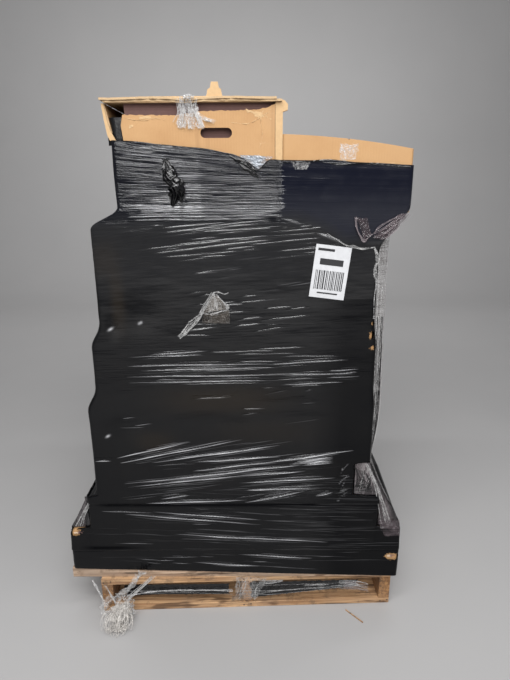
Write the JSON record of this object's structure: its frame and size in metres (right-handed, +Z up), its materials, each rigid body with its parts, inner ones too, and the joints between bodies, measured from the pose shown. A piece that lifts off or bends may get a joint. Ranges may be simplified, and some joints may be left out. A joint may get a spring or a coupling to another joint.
{
  "type": "shrink wrapped pallet load",
  "caption": "Mixed cartons on bearer planks and a notched stringer pallet, held by black stretch film, with an open hand-holed carton on top.",
  "frame": {"origin": "on the floor, under the middle of the pallet, on the underside of its centre bottom board", "axes": "+Z up; -Y is the front, where the stringer ends show; X runs along the deck boards, +X to the right seen from the front"},
  "size_m": [1.1863, 1.3125, 1.699],
  "materials": {
    "pallet_wood": "weathered softwood, grey-brown",
    "plank_wood": "sawn softwood",
    "cardboard": "brown kraft board, matte",
    "black_film": "black stretch film, glossy and wrinkled",
    "clear_film": "clear stretch film, crumpled",
    "label_paper": "white paper under film"
  },
  "bodies": {
    "root": {"stringer_left": "pallet_wood", "stringer_middle": "pallet_wood", "stringer_right": "pallet_wood", "top_lead_board_front": "pallet_wood", "top_lead_board_rear": "pallet_wood", "top_deck_board_1": "pallet_wood", "top_deck_board_2": "pallet_wood", "top_deck_board_3": "pallet_wood", "top_deck_board_4": "pallet_wood", "top_deck_board_5": "pallet_wood", "bottom_lead_board_front": "pallet_wood", "bottom_lead_board_rear": "pallet_wood", "bottom_deck_board_1": "pallet_wood", "bottom_deck_board_2": "pallet_wood", "bottom_deck_board_3": "pallet_wood", "bearer_plank_front": "plank_wood", "bearer_plank_middle": "plank_wood", "bearer_plank_rear": "plank_wood", "carton_base": "cardboard", "carton_second": "cardboard", "carton_third": "cardboard", "carton_front_low": "cardboard", "carton_front_middle": "cardboard", "carton_front_high_left": "cardboard", "carton_front_high_right": "cardboard", "carton_rear_low": "cardboard", "carton_rear_high_left": "cardboard", "carton_rear_high_right": "cardboard", "carton_top_rear": "cardboard", "carton_flat_top": "cardboard", "carton_open_top": "cardboard", "black_wrap": "black_film", "black_film_tail": "black_film", "film_bridge_left": "black_film", "film_bridge_right": "black_film", "clear_film_twist": "clear_film", "clear_film_sash": "clear_film", "clear_film_bundle": "clear_film", "paper_label": "label_paper"}
  },
  "joints": []
}
